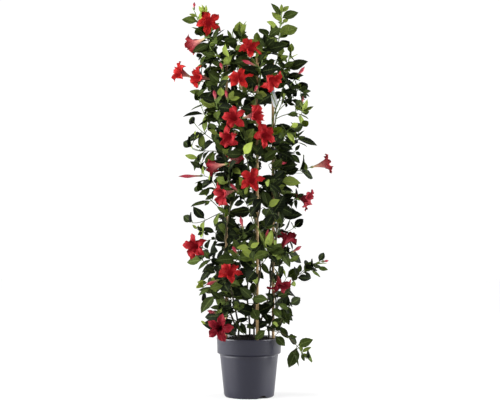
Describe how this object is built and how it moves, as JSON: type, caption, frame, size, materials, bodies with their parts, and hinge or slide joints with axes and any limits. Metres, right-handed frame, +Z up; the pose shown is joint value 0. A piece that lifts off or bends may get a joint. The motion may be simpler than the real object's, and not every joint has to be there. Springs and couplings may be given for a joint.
{
  "type": "potted mandevilla",
  "caption": "Climbing mandevilla with dark green leaves and red trumpet flowers, wound round upright canes in a round grey nursery pot of soil.",
  "frame": {"origin": "centre of the pot's underside, on the surface that it stands on", "axes": "+Z up along the plant, +X to the plant's right as seen from its best side, -Y towards the viewer of that side"},
  "size_m": [0.5067, 0.3445, 1.2782],
  "materials": {
    "pot": "satin moulded plastic",
    "soil": "damp peat and bark",
    "cane": "dry bamboo",
    "label": "plain white plastic strip",
    "foliage": "glossy leaf on dark stem",
    "petal": "velvet petal",
    "bud": "closed petal"
  },
  "bodies": {
    "root": {"pot": "pot", "soil": "soil", "cane_front": "cane", "cane_right": "cane", "cane_left": "cane", "label": "label", "vine_left": "foliage", "vine_front": "foliage", "vine_right": "foliage", "vine_back": "foliage", "vine_inner_left": "foliage", "vine_inner_right": "foliage", "bloom_01": "petal", "bloom_02": "petal", "bloom_03": "petal", "bloom_04": "petal", "bloom_05": "petal", "bloom_06": "petal", "bloom_07": "petal", "bloom_08": "petal", "bloom_09": "petal", "bloom_10": "petal", "bloom_11": "petal", "bloom_12": "petal", "bloom_13": "petal", "bloom_14": "petal", "bloom_15": "petal", "bloom_16": "petal", "bloom_17": "petal", "bloom_18": "petal", "bloom_19": "petal", "bloom_20": "petal", "bloom_21": "petal", "bloom_22": "petal", "bud_01": "bud", "bud_02": "bud", "bud_03": "bud", "bud_04": "bud", "bud_05": "bud", "bud_06": "bud", "bud_07": "bud", "bud_08": "bud", "bud_09": "bud", "bud_10": "bud", "bud_11": "bud", "bud_12": "bud", "bud_13": "bud", "bud_14": "bud", "bud_15": "bud", "bud_16": "bud", "bud_17": "bud", "bud_18": "bud"}
  },
  "joints": []
}
